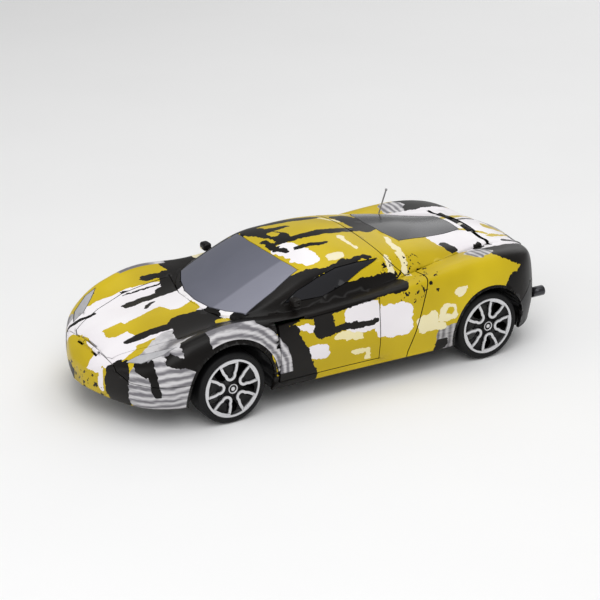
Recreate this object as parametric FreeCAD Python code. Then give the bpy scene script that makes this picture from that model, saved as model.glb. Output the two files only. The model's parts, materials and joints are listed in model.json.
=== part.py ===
import FreeCAD
import Part
import math
import os
from FreeCAD import Vector

# Transforming robot car, a toy of about 1:18 scale, in millimetres.
# +X is the nose, +Y the car's left side, +Z up. The origin is on the ground, under the middle of the car.
# The rear unit (base) stays on the ground. The front unit (torso) stands up on the hip hinge, its doors
# swing out as arms and its hood flips over the nose with the robot's head under it.

# ---------------------------------------------------------------- overall sizes
WHEELBASE = 128.0
FRONT_OVERHANG = 48.5        # front axle to the tip of the nose
REAR_OVERHANG = 35.0         # rear axle to the tail of the body
EXHAUST_REACH = 3.5          # exhaust tips behind the tail
BODY_WIDTH = 95.0
BODY_HEIGHT = 58.8
SILL_Z = 10.3                # ground clearance under the sills
LENGTH = FRONT_OVERHANG + WHEELBASE + REAR_OVERHANG + EXHAUST_REACH
FRONT_AXLE_X = LENGTH / 2 - FRONT_OVERHANG
REAR_AXLE_X = FRONT_AXLE_X - WHEELBASE
TAIL_X = REAR_AXLE_X - REAR_OVERHANG

# ---------------------------------------------------------------- skin
WALL = 1.4                   # thickness of the moulded skin
SEAM = 0.35                  # gap between two skin panels
SPLIT_GAP = 0.5              # gap between the rear unit and the front unit

# ---------------------------------------------------------------- wheels
TYRE_R = 15.5
TYRE_WIDTH = 11.0
RIM_R = 12.9
RIM_WALL = 1.2
RIM_DISC = 1.6
WHEEL_INSET = 2.7            # rim face inside the widest point of the body
HUB_R = 3.4
HUB_LENGTH = 8.0
AXLE_R = 1.5
RUNNING_CLEARANCE = 0.05
WHEEL_WINDOWS = 5
WINDOW_R = 2.6               # half width of a rim window at its round end
FRONT_ARCH_GAP = 4.0         # arch above the tyre
REAR_ARCH_GAP = 2.8
WELL_CLEARANCE = 1.2         # tyre to the inner wall of the wheel well
WELL_WALL = 1.0
RIM_FACE_Y = BODY_WIDTH / 2 - WHEEL_INSET
WELL_Y = RIM_FACE_Y - TYRE_WIDTH - WELL_CLEARANCE

# ---------------------------------------------------------------- chassis
FLOOR_Z = 10.6
FLOOR = 2.0
FLOOR_TOP = FLOOR_Z + FLOOR
SCREW_R = 1.0
SCREW_HEAD_R = 1.9
SCREW_HEAD = 0.9
SCREW_LENGTH = 6.0

# ---------------------------------------------------------------- drive
GEAR_MODULE = 0.5
AXLE_TEETH = 24
PINION_TEETH = 12
GEAR_WIDTH = 2.6
GEAR_BACKLASH = 0.14
MOTOR_R = 6.0
MOTOR_LENGTH = 17.0
MOTOR_SHAFT_R = 0.75
PINION_ANGLE = 30.0          # direction from the rear axle up to the motor shaft

# ---------------------------------------------------------------- hip hinge and lift drive
HIP_PIN_R = 1.2
HIP_KNUCKLE_R = 2.1
HIP_TOWER = 2.5              # half width of the middle tower of the rear unit
HIP_PLAY = 0.35              # side play between two knuckles
SECTOR_WIDTH = 2.4
HIP_ARM = 3.8
HIP_OUTER = 3.0
LIFT_MODULE = 0.8
SECTOR_TEETH = 36            # of the full circle
LIFT_PINION_TEETH = 12
SECTOR_START = -158.5        # first and last direction of the toothed arc
SECTOR_END = -51.0
LIFT_PINION_ANGLE = -60.0

# ---------------------------------------------------------------- hood, doors and small parts
HOOD_PIN_R = 0.5
HOOD_KNUCKLE_R = 0.95
HOOD_PIN_DEPTH = 0.1         # pin centre below the hood's surface
HOOD_EAR = 4.0               # half width of the nose's ear on the hood pin
HOOD_KNUCKLE_END = 8.6
DOOR_PIN_R = 0.8
DOOR_KNUCKLE_R = 1.5
DOOR_PIN_DEPTH = 4.2         # pin centre inside the door's outer face
ROLLER_R = 3.6
ROLLER_LIFT = 1.6            # roller above the ground in car mode
ROLLER_WIDTH = 40.0
EXHAUST_R = 2.3
EXHAUST_WALL = 0.5
ANTENNA_R = 0.35
ANTENNA_LENGTH = 10.0
ANTENNA_LEAN = -0.35          # run back for each unit of height

# ---------------------------------------------------------------- styling lines
# The lines are drawn for this body and stretched to the sizes above.
DRAWN_FRONT_AXLE = 59.0
DRAWN_REAR_AXLE = -69.0
DRAWN_NOSE = 107.5
DRAWN_TAIL = -104.0
DRAWN_WIDTH = 95.0
DRAWN_HEIGHT = 58.8
DRAWN_SILL = 10.3

STATIONS = [107.5, 106, 103, 99, 94, 88, 80, 70, 59, 45, 30, 10, -10, -30, -50, -69, -82, -91, -97, -101.5, -104]
CREST_Z = {107.5: 21, 105: 24, 101: 26.6, 94: 29.8, 87: 33.2, 79: 36.6, 69: 39.6, 59: 41.2, 49: 40.8, 34: 40,
           9: 41, -11: 42, -31: 43.6, -51: 46, -71: 47, -86: 46, -97: 43, -104: 38.5}
CREST_Y = {107.5: 5, 105: 12, 101: 20, 94: 29, 87: 34.2, 79: 37.3, 59: 38.5, 39: 39.5, 20: 41, -5: 42,
           -25: 42, -51: 39.5, -71: 38.5, -88: 37, -97: 32, -104: 21}
CENTRE_Z = {107.5: 21.5, 105: 25, 101: 28, 94: 31, 79: 34.5, 59: 37, 44: 38.5, 9: 40, -31: 43, -61: 45,
            -88: 44.8, -97: 43.8, -104: 41.2}
VALLEY_Z = {107.5: 21.5, 105: 24.6, 101: 27.4, 94: 30.4, 79: 33.5, 59: 36, 44: 37.6, 9: 40, -31: 43, -61: 45,
            -88: 44.6, -97: 43.2, -104: 40}
WIDE_Y = {107.5: 6, 106: 12, 103.5: 19, 99: 29.5, 95: 36.3, 89: 42, 80: 45, 59: 47.5, 39: 46, 9: 45.3,
          -21: 46, -41: 47, -69: 47.5, -82: 47, -91: 44, -97: 39, -101.5: 32, -104: 22}
WIDE_Z = {107.5: 17.5, 94: 22.5, 59: 26, 0: 25, -69: 28, -104: 26}
SILL_Y = {107.5: 4, 104: 13, 99: 25, 94: 33, 87: 38.5, 79: 41.5, 59: 44.5, 19: 44, -41: 45, -69: 45.5,
          -85: 44.5, -93: 40.5, -101: 31, -104: 21}
LOW_Z = {107.5: 12.6, 103: 11.2, 97: 10.6, 59: 10.3, -80: 10.3, -92: 11, -104: 13}

CABIN_STATIONS = [53.5, 52, 48, 42, 35, 27, 17, 5, -8, -22, -41, -61, -81, -96, -103]
ROOF_Z = {53.5: 36.4, 52: 37.8, 48: 40, 42: 43, 35: 46.7, 27: 50.6, 19: 54, 9: 57, -1: 58.4, -10: 58.8,
          -25: 57.8, -41: 55.6, -61: 51.8, -81: 48.4, -96: 44.8, -103: 40.6}
EDGE_Y = {53.5: 8, 52: 14, 48: 21.5, 42: 26, 35: 27.5, 17: 27.5, -1: 26.5, -21: 26, -41: 23.5, -61: 20.5,
          -81: 18, -103: 15}
EDGE_DROP = {53.5: 0.4, 52: 0.6, 48: 1.4, 42: 2, 35: 2.4, 19: 2.6, -1: 4.2, -21: 4.4, -41: 3.8, -61: 3,
             -81: 2, -103: 1}
BASE_Y = {53.5: 10, 52: 17, 48: 25.5, 42: 31.5, 35: 34, 19: 36, -1: 36.8, -21: 36, -41: 33, -61: 29,
          -81: 25, -103: 22}
BASE_Z = {53.5: 36, 44: 37.3, 20: 40, 0: 41, -30: 44, -60: 45.6, -81: 45.6, -103: 40}

# Panel outlines, in the drawn body. Plan outlines are (x, y) of the left half; side outlines are (x, z).
HOOD = [(54.5, 0), (53.5, 12), (50.5, 22), (49, 29), (73, 27.5), (86, 23.5), (99.5, 17), (100.6, 14), (100.6, 0)]
WINDSCREEN = [(52, 0), (51, 11), (48, 20), (43.5, 28.5), (30, 27.8), (17, 25.5), (18.5, 13), (19, 0)]
REAR_WINDOW = [(-32, 0), (-34, 12), (-38, 19.5), (-52, 17.5), (-66, 13.5), (-76.5, 10), (-77, 0)]
HEADLAMP = [(97, 25), (93.5, 31.5), (86, 36.5), (81, 37.2), (85, 33), (92, 26.5)]
SIDE_WINDOW = [(27, 42.6), (21, 46.2), (11, 49.6), (1, 51.6), (-10, 52), (-20, 51.6), (-11, 49.4), (-3, 46.2), (10, 42.8)]
DOOR = [(36.5, 13.2), (36.5, 37.6), (10, 38.8), (-12, 40.2), (-12, 13.2)]
BUMPER = [(74, 0), (74, 21.5), (98.5, 21.5), (101.2, 24.5), (101.2, 40), (120, 40), (120, 0)]
REAR_BUMPER = [(-84, 0), (-84, 23), (-94, 30.5), (-120, 30.5), (-120, 0)]
REAR_SPLIT = [(-25, 0), (-27, 13), (-36, 39.5), (-38.5, 48), (-42, 70), (-130, 70), (-130, 0)]
PILLAR_LINE = [(-18.8, 60), (-26, 49.5), (-35, 40), (-50, 30), (-130, 30), (-130, 75), (-18.8, 75)]
HIP_X = -82.0
HOOD_HINGE_X = 101.6
DOOR_HINGE_X = 31.0
MIRROR = (25.5, 38.6, 44.3)
ANTENNA_BASE = (-54.0, -20.6)


# ================================================================ shape helpers
def stretch_x(x):
    """Place on the real car of a drawn distance along it; the axles and both ends stay tied."""
    if x > DRAWN_FRONT_AXLE:
        return FRONT_AXLE_X + (x - DRAWN_FRONT_AXLE) * FRONT_OVERHANG / (DRAWN_NOSE - DRAWN_FRONT_AXLE)
    if x < DRAWN_REAR_AXLE:
        return REAR_AXLE_X + (x - DRAWN_REAR_AXLE) * REAR_OVERHANG / (DRAWN_REAR_AXLE - DRAWN_TAIL)
    return REAR_AXLE_X + (x - DRAWN_REAR_AXLE) * WHEELBASE / (DRAWN_FRONT_AXLE - DRAWN_REAR_AXLE)


def stretch_y(y):
    return y * BODY_WIDTH / DRAWN_WIDTH


def stretch_z(z):
    return SILL_Z + (z - DRAWN_SILL) * (BODY_HEIGHT - SILL_Z) / (DRAWN_HEIGHT - DRAWN_SILL)


def smooth(line, x):
    """Value at x of a styling line: a cubic through its points that never overshoots them."""
    xs = sorted(line)
    if x <= xs[0]:
        return line[xs[0]]
    if x >= xs[-1]:
        return line[xs[-1]]
    steps = [b - a for a, b in zip(xs, xs[1:])]
    rises = [(line[b] - line[a]) / (b - a) for a, b in zip(xs, xs[1:])]
    slopes = [rises[0]]
    for i in range(1, len(rises)):
        same_way = rises[i - 1] * rises[i] > 0
        mean = 2 * rises[i - 1] * rises[i] / (rises[i - 1] + rises[i]) if same_way else 0.0
        slopes.append(mean)
    slopes.append(rises[-1])
    i = max(k for k in range(len(steps)) if xs[k] <= x)
    t = (x - xs[i]) / steps[i]
    start = (1 + 2 * t) * (1 - t) ** 2 * line[xs[i]] + t * (1 - t) ** 2 * steps[i] * slopes[i]
    end = t * t * (3 - 2 * t) * line[xs[i + 1]] + t * t * (t - 1) * steps[i] * slopes[i + 1]
    return start + end


def box(x0, x1, y0, y1, z0, z1):
    return Part.makeBox(x1 - x0, y1 - y0, z1 - z0, Vector(x0, y0, z0))


def rod_y(x, z, radius, y0, y1):
    return Part.makeCylinder(radius, y1 - y0, Vector(x, y0, z), Vector(0, 1, 0))


def rod_z(x, y, radius, z0, z1):
    return Part.makeCylinder(radius, z1 - z0, Vector(x, y, z0))


def rod_x(y, z, radius, x0, x1):
    return Part.makeCylinder(radius, x1 - x0, Vector(x0, y, z), Vector(1, 0, 0))


def face_of(points):
    return Part.Face(Part.makePolygon(points + [points[0]]))


def side_prism(outline, y0, y1, grow=0.0):
    """Outline of (x, z) points of the drawn body, grown by a gap and pulled from y0 to y1."""
    face = face_of([Vector(stretch_x(x), y0, stretch_z(z)) for x, z in outline])
    if grow:
        face = face.makeOffset2D(grow)
    return face.extrude(Vector(0, y1 - y0, 0))


def plan_prism(outline, z0, z1, grow=0.0, mirrored=True):
    """Outline of (x, y) points of the drawn body's left half, made whole, grown and pulled up."""
    right = [(x, -y) for x, y in reversed(outline) if y > 0]
    points = outline + right if mirrored else outline
    face = face_of([Vector(stretch_x(x), stretch_y(y), z0) for x, y in points])
    if grow:
        face = face.makeOffset2D(grow)
    return face.extrude(Vector(0, 0, z1 - z0))


def mirrored(shape):
    return shape.mirror(Vector(0, 0, 0), Vector(0, 1, 0))


def both(shape):
    return Part.makeCompound([shape, mirrored(shape)])


def merge(first, *others):
    return first.fuse(list(others)).removeSplitter()


def largest(shape):
    """The panel itself, without crumbs left by a cut."""
    return max(shape.Solids, key=lambda solid: solid.Volume)


# ================================================================ body surfaces
def inset_section(half, inset):
    """Half section moved inwards by the wall, square to its own line."""
    moved = []
    for i, (y, z) in enumerate(half):
        before = half[max(i - 1, 0)]
        after = half[min(i + 1, len(half) - 1)]
        dy = after[0] - before[0]
        dz = after[1] - before[1]
        size = math.hypot(dy, dz)
        moved.append((max(y - inset * dz / size, 0.2 * y), z + inset * dy / size))
    moved[-1] = (0.0, half[-1][1] - inset)
    return moved


def body_half(x):
    """Left half of the lower body's cross-section, from the sill up and over to the middle."""
    sill = smooth(SILL_Y, x)
    low = smooth(LOW_Z, x)
    wide_y = smooth(WIDE_Y, x)
    wide_z = smooth(WIDE_Z, x)
    crest_y = smooth(CREST_Y, x)
    crest_z = smooth(CREST_Z, x)
    return [(sill, low),
            (wide_y - 0.4, (low + wide_z) / 2),
            (wide_y, wide_z),
            (0.72 * wide_y + 0.28 * crest_y, wide_z + 0.72 * (crest_z - wide_z)),
            (crest_y, crest_z),
            (0.62 * crest_y, smooth(VALLEY_Z, x)),
            (0.0, smooth(CENTRE_Z, x))]


def cabin_half(x):
    """Left half of the cabin's cross-section, from the belt line up to the roof's middle."""
    base_y = smooth(BASE_Y, x)
    base_z = smooth(BASE_Z, x)
    edge_y = smooth(EDGE_Y, x)
    roof = smooth(ROOF_Z, x)
    edge_z = max(roof - smooth(EDGE_DROP, x), base_z)
    return [(base_y, base_z),
            ((base_y + edge_y) / 2 + 0.9, (base_z + edge_z) / 2 + 0.4),
            (edge_y, edge_z),
            (0.5 * edge_y, roof - 0.25 * (roof - edge_z)),
            (0.0, roof)]


def section_wire(x, half, drop, inset):
    """Closed section at one station: a smooth line over the top, straight sides down, a flat bottom."""
    if inset:
        half = inset_section(half, inset)
    if x > 0:
        place = stretch_x(x) - inset * min(1.0, x / DRAWN_NOSE)
    else:
        place = stretch_x(x) + inset * min(1.0, x / DRAWN_TAIL)
    left = [Vector(place, stretch_y(y), stretch_z(z)) for y, z in half]
    right = [Vector(place, -p.y, p.z) for p in reversed(left[:-1])]
    points = left + right
    top = Part.BSplineCurve()
    top.interpolate(Points=points, Parameters=[i / (len(points) - 1) for i in range(len(points))])
    below_left = Vector(place, points[0].y, points[0].z - drop)
    below_right = Vector(place, points[-1].y, points[-1].z - drop)
    edges = [top.toShape()]
    if drop:
        edges.append(Part.makeLine(points[-1], below_right))
    edges.append(Part.makeLine(below_right, below_left))
    if drop:
        edges.append(Part.makeLine(below_left, points[0]))
    return Part.Wire(edges)


def body_solid(inset=0.0):
    """Lower body and cabin as one solid; the inset one is the space inside the skin."""
    drop = 4.0 if inset else 0.0
    # The space inside ends before the sections get thinner than the skin.
    body_stations = STATIONS[1:] if inset else STATIONS
    cabin_stations = CABIN_STATIONS[2:-1] if inset else CABIN_STATIONS
    lower = Part.makeLoft([section_wire(x, body_half(x), drop, inset) for x in body_stations], True)
    cabin = Part.makeLoft([section_wire(x, cabin_half(x), 9.0, inset) for x in cabin_stations], True)
    return lower.fuse(cabin)


def arch_cutters():
    cutters = []
    for x, gap in ((FRONT_AXLE_X, FRONT_ARCH_GAP), (REAR_AXLE_X, REAR_ARCH_GAP)):
        for y0, y1 in ((WELL_Y, BODY_WIDTH), (-BODY_WIDTH, -WELL_Y)):
            cutters.append(rod_y(x, TYRE_R, TYRE_R + gap, y0, y1))
    return cutters


OUTER = body_solid()
INNER = body_solid(WALL)
SKIN = OUTER.cut(INNER).cut(arch_cutters())
NODES = {}


# ================================================================ places across the hip hinge
SECTOR_Y = HIP_TOWER + HIP_PLAY
ARM_Y = SECTOR_Y + SECTOR_WIDTH + 0.1
ARM_END_Y = ARM_Y + HIP_ARM
OUTER_TOWER_Y = ARM_END_Y + HIP_PLAY
OUTER_TOWER_END_Y = OUTER_TOWER_Y + HIP_OUTER
AXLE_END_Y = 5.9
GEAR_Y = 7.9
MOTOR_Y = OUTER_TOWER_END_Y
HUB_IN_Y = RIM_FACE_Y - HUB_LENGTH


# ================================================================ skin panels
def hinge_points():
    """Places of the hip, hood and door hinge axes on the body's surface."""
    hip_z = stretch_z(smooth(ROOF_Z, HIP_X)) - HIP_KNUCKLE_R
    hood_z = stretch_z(smooth(CENTRE_Z, HOOD_HINGE_X)) - HOOD_PIN_DEPTH
    door_y = stretch_y(smooth(WIDE_Y, DOOR_HINGE_X)) - DOOR_PIN_DEPTH
    return (stretch_x(HIP_X), hip_z), (stretch_x(HOOD_HINGE_X), hood_z), (stretch_x(DOOR_HINGE_X), door_y)


(HIP_AXIS_X, HIP_AXIS_Z), (HOOD_AXIS_X, HOOD_AXIS_Z), (DOOR_AXIS_X, DOOR_AXIS_Y) = hinge_points()
DOOR_EDGE = stretch_x(DOOR[0][0]) - DOOR_AXIS_X
DOOR_SWING_R = math.hypot(DOOR_EDGE, DOOR_PIN_DEPTH) + 0.3


def cabin_plan(grow, side_x, middle_x):
    """Everything above the rear unit within the cabin's plan; the middle of its rear edge is cut back."""
    knuckles_y = (OUTER_TOWER_END_Y + SEAM) * DRAWN_WIDTH / BODY_WIDTH
    left = [(x, smooth(BASE_Y, x)) for x in (0, -20, -30, -41, -51, -61, -71, side_x)]
    rear = [(side_x, knuckles_y), (middle_x, knuckles_y), (middle_x, 0)]
    return plan_prism([(0, 0)] + left + rear, stretch_z(30), stretch_z(90), grow)


def tail_lamp_block(grow):
    """Space of the left tail lamp in the rear face, under the edge of the deck."""
    return box(TAIL_X - 5, stretch_x(-92), stretch_y(21) - grow, stretch_y(34) + grow,
               stretch_z(32.6) - grow, stretch_z(36.4) + grow)


def skin_panels():
    top = stretch_z(90)
    wide = BODY_WIDTH
    hood = plan_prism(HOOD, stretch_z(20), top)
    hood_hole = plan_prism(HOOD, stretch_z(20), top, SEAM)
    slot_half = HOOD_KNUCKLE_END + HIP_PLAY
    hinge_slot = box(HOOD_AXIS_X - 1.6, HOOD_AXIS_X + 1.5, -slot_half, slot_half, stretch_z(20), top)
    windscreen = plan_prism(WINDSCREEN, stretch_z(33), top)
    windscreen_hole = plan_prism(WINDSCREEN, stretch_z(33), top, SEAM)
    rear_window = plan_prism(REAR_WINDOW, stretch_z(40), top)
    rear_window_hole = plan_prism(REAR_WINDOW, stretch_z(40), top, SEAM)
    lamp = plan_prism(HEADLAMP, stretch_z(20), top, mirrored=False)
    lamp_hole = plan_prism(HEADLAMP, stretch_z(20), top, SEAM, mirrored=False)
    window = side_prism(SIDE_WINDOW, stretch_y(20), wide)
    window_hole = side_prism(SIDE_WINDOW, stretch_y(20), wide, SEAM)
    door = side_prism(DOOR, stretch_y(33), wide)
    door_hole = side_prism(DOOR, stretch_y(33), wide, SEAM)
    bumper = side_prism(BUMPER, -wide, wide)
    bumper_hole = side_prism(BUMPER, -wide, wide, SEAM)
    rear_bumper = side_prism(REAR_BUMPER, -wide, wide)
    rear_bumper_hole = side_prism(REAR_BUMPER, -wide, wide, SEAM)
    behind = side_prism(REAR_SPLIT, -wide, wide)
    behind_grown = side_prism(REAR_SPLIT, -wide, wide, SPLIT_GAP)
    pillar = side_prism(PILLAR_LINE, -wide, wide)
    pillar_grown = side_prism(PILLAR_LINE, -wide, wide, SEAM)
    cabin = cabin_plan(0.0, HIP_X + 0.8, HIP_X + 2.4)
    cabin_grown = cabin_plan(SPLIT_GAP, HIP_X - 0.8, HIP_X - 1.9)
    door_swing = rod_z(DOOR_AXIS_X, DOOR_AXIS_Y, DOOR_SWING_R, stretch_z(13), stretch_z(39.4))

    glass_holes = [windscreen_hole, rear_window_hole, window_hole, mirrored(window_hole)]
    NODES["windscreen"] = largest(SKIN.common(windscreen))
    NODES["rear_window"] = largest(SKIN.common(rear_window))
    NODES["side_windows"] = both(largest(SKIN.common(window)))
    shell = SKIN.cut(glass_holes)

    rear_unit = shell.common(behind).cut(cabin_grown)
    NODES["rear_bumper"] = largest(rear_unit.common(rear_bumper))
    rear_unit = rear_unit.cut(rear_bumper_hole)
    tail_lamp = tail_lamp_block(0.0)
    tail_lamp_hole = tail_lamp_block(SEAM)
    NODES["tail_lamps"] = both(largest(rear_unit.common(tail_lamp)))
    NODES["rear_shell"] = largest(rear_unit.cut([tail_lamp_hole, mirrored(tail_lamp_hole)]))

    NODES["canopy"] = largest(shell.common(cabin).common(pillar))
    front_unit = shell.cut(behind_grown.cut(cabin)).cut(pillar_grown.common(cabin_grown))

    NODES["front_bumper"] = largest(front_unit.common(bumper).cut(hinge_slot))
    front_unit = front_unit.cut([bumper_hole, hinge_slot])
    NODES["hood_flap"] = largest(front_unit.common(hood))
    NODES["left_door"] = largest(front_unit.common(door))
    NODES["right_door"] = mirrored(NODES["left_door"])
    NODES["headlamps"] = both(largest(front_unit.common(lamp)))
    holes = [hood_hole, door_hole, mirrored(door_hole), lamp_hole, mirrored(lamp_hole),
             door_swing, mirrored(door_swing)]
    NODES["front_shell"] = largest(front_unit.cut(holes))


skin_panels()


# ================================================================ gears
def gear(teeth, module, width, bore, phase, span=None):
    """Involute spur gear along Y, its first tooth at the phase; a span keeps only that arc of teeth."""
    pitch_r = module * teeth / 2
    base_r = pitch_r * math.cos(math.radians(20))
    tip_r = pitch_r + 0.9 * module
    root_r = pitch_r - 1.25 * module
    flank = [max(base_r, root_r) + (tip_r - max(base_r, root_r)) * k / 4 for k in range(5)]

    def involute(radius):
        roll = math.sqrt(max((radius / base_r) ** 2 - 1, 0))
        return roll - math.atan(roll)

    half_tooth = math.pi / (2 * teeth) - GEAR_BACKLASH / (4 * pitch_r) + involute(pitch_r)
    profile = [(root_r, -(half_tooth - involute(flank[0])))]
    profile += [(radius, -(half_tooth - involute(radius))) for radius in flank]
    profile += [(radius, half_tooth - involute(radius)) for radius in reversed(flank)]
    profile += [(root_r, half_tooth - involute(flank[0]))]
    points = []
    for tooth in range(teeth):
        middle = math.radians(phase) + 2 * math.pi * tooth / teeth
        for radius, angle in profile:
            points.append(Vector(radius * math.cos(middle + angle), 0, radius * math.sin(middle + angle)))
    solid = face_of(points).extrude(Vector(0, width, 0))
    if bore:
        solid = solid.cut(rod_y(0, 0, bore, -1, width + 1))
    return solid


def polar(x, z, radius, degrees):
    angle = math.radians(degrees)
    return x + radius * math.cos(angle), z + radius * math.sin(angle)


def wedge_y(x, z, radius, start, end, y0, y1):
    """Slice of a disc along Y between two directions, with its centre at x, z."""
    rim = [polar(x, z, radius, start + (end - start) * k / 8) for k in range(9)]
    points = [Vector(x, y0, z)] + [Vector(px, y0, pz) for px, pz in rim]
    return face_of(points).extrude(Vector(0, y1 - y0, 0))


# ================================================================ layout of the inside
ROOM = body_solid(WALL + 0.5)
DRIVE_DISTANCE = GEAR_MODULE * (AXLE_TEETH + PINION_TEETH) / 2
LIFT_DISTANCE = LIFT_MODULE * (SECTOR_TEETH + LIFT_PINION_TEETH) / 2
MOTOR_X, MOTOR_Z = polar(REAR_AXLE_X, TYRE_R, DRIVE_DISTANCE, PINION_ANGLE)
LIFT_X, LIFT_Z = polar(HIP_AXIS_X, HIP_AXIS_Z, LIFT_DISTANCE, LIFT_PINION_ANGLE)
ROLLER_X = stretch_x(-34)
ROLLER_Z = ROLLER_LIFT + ROLLER_R
BATTERY_R = 7.1
BATTERY_LENGTH = 50.0
BATTERY_PITCH = 14.5
BATTERY_X = stretch_x(-17)
BATTERY_Z = FLOOR_TOP + BATTERY_R + 0.2
TRAY_Y = BATTERY_PITCH + BATTERY_R + 0.6
TRAY_WALL = 1.2
BOARD_Z = BATTERY_Z + BATTERY_R + 1.5
SWITCH_X = stretch_x(41)
SWITCH_TRAVEL = 3.0
BASE_SCREWS = [(-50, 24), (-95, 20)]
TORSO_SCREWS = [(92, 15), (40, 26), (-21, 28)]




def screw_places(places):
    return [(stretch_x(x), side * y) for x, y in places for side in (1, -1)]


def screw_bore(x, y):
    head = rod_z(x, y, SCREW_HEAD_R, FLOOR_Z - 1, FLOOR_Z + SCREW_HEAD)
    return head.fuse(rod_z(x, y, SCREW_R, FLOOR_Z, FLOOR_Z + SCREW_LENGTH))


def screw(x, y):
    """Pan-head screw seated in its bore, with a cross slot."""
    head = rod_z(x, y, SCREW_HEAD_R, FLOOR_Z, FLOOR_Z + SCREW_HEAD)
    slots = [box(x - 1.2, x + 1.2, y - 0.2, y + 0.2, FLOOR_Z - 1, FLOOR_Z + 0.4),
             box(x - 0.2, x + 0.2, y - 1.2, y + 1.2, FLOOR_Z - 1, FLOOR_Z + 0.4)]
    return head.fuse(rod_z(x, y, SCREW_R, FLOOR_Z, FLOOR_Z + SCREW_LENGTH)).cut(slots)


def boss(x, y):
    return rod_z(x, y, SCREW_HEAD_R + 0.8, FLOOR_Z, FLOOR_Z + SCREW_LENGTH + 1)


def wheel_liner(x, gap):
    """Half drum around a wheel with an inner wall; closes the arch off from the inside of the car."""
    radius = TYRE_R + gap + 0.3
    drum = rod_y(x, TYRE_R, radius + WELL_WALL, WELL_Y - WELL_WALL, BODY_WIDTH)
    drum = drum.cut(rod_y(x, TYRE_R, radius, WELL_Y, BODY_WIDTH))
    drum = drum.cut(rod_y(x, TYRE_R, AXLE_R + 0.6, 0, BODY_WIDTH))
    floor_cut = box(x - 2 * radius, x + 2 * radius, 0, BODY_WIDTH, -BODY_WIDTH, FLOOR_Z)
    return drum.common(ROOM).cut(floor_cut)


def chassis_floor(x0, x1):
    """Floor plate as wide as the body allows, cut away for the wheels."""
    plate = box(x0, x1, -BODY_WIDTH, BODY_WIDTH, FLOOR_Z, FLOOR_TOP).common(ROOM)
    for x, gap in ((FRONT_AXLE_X, FRONT_ARCH_GAP), (REAR_AXLE_X, REAR_ARCH_GAP)):
        radius = TYRE_R + gap + 0.5
        plate = plate.cut(rod_y(x, TYRE_R, radius, WELL_Y - 0.5, BODY_WIDTH))
        plate = plate.cut(rod_y(x, TYRE_R, radius, -BODY_WIDTH, -WELL_Y + 0.5))
    return plate


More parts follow.
